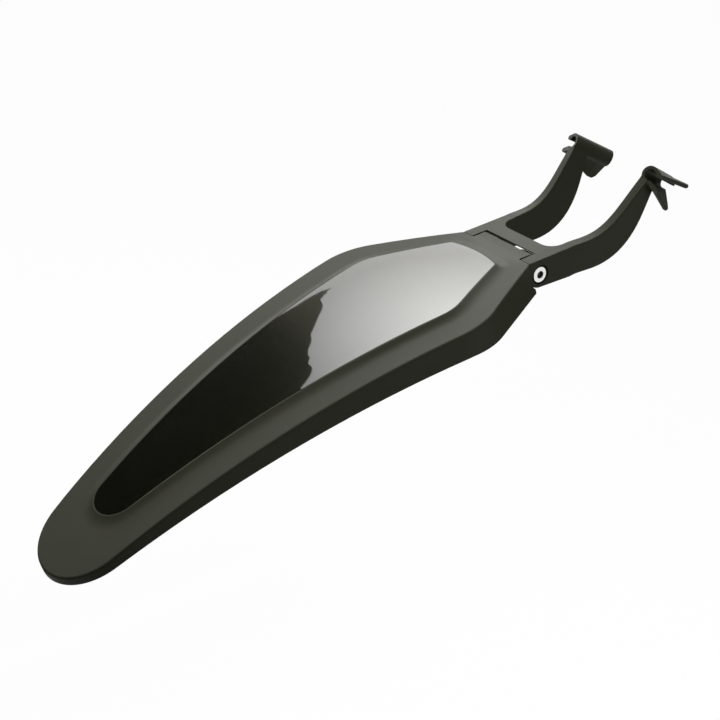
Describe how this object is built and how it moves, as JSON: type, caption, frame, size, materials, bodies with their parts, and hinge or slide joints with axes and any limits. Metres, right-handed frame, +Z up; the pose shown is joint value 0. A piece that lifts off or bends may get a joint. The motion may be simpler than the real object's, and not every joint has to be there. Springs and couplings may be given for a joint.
{
  "type": "saddle-mounted bicycle mudguard",
  "caption": "Rear bicycle mudguard: a long arched blade with a glossy inset panel, hinged on bolts to a forked arm whose clips snap onto the rails of the saddle.",
  "frame": {"origin": "midway between the rear ends of the two rail clips' bores", "axes": "+X forwards along the bicycle, +Y to the left, +Z up"},
  "size_m": [0.4309, 0.1312, 0.1567],
  "materials": {
    "textured_plastic": "fine moulded grain, satin",
    "gloss_plastic": "polished",
    "bolt_steel": "zinc plated"
  },
  "bodies": {
    "fork": {"fork": "textured_plastic"},
    "blade": {"blade": "textured_plastic", "gloss_panel": "gloss_plastic", "pivot_bolt_left": "bolt_steel", "pivot_bolt_right": "bolt_steel", "pivot_nut_left": "bolt_steel", "pivot_nut_right": "bolt_steel"}
  },
  "joints": [
    {"name": "blade_tilt", "type": "hinge", "parent": "fork", "child": "blade", "pos_m": [-0.081, 0, -0.0456], "axis": [0, -1, 0], "range_deg": [0, 40]}
  ]
}
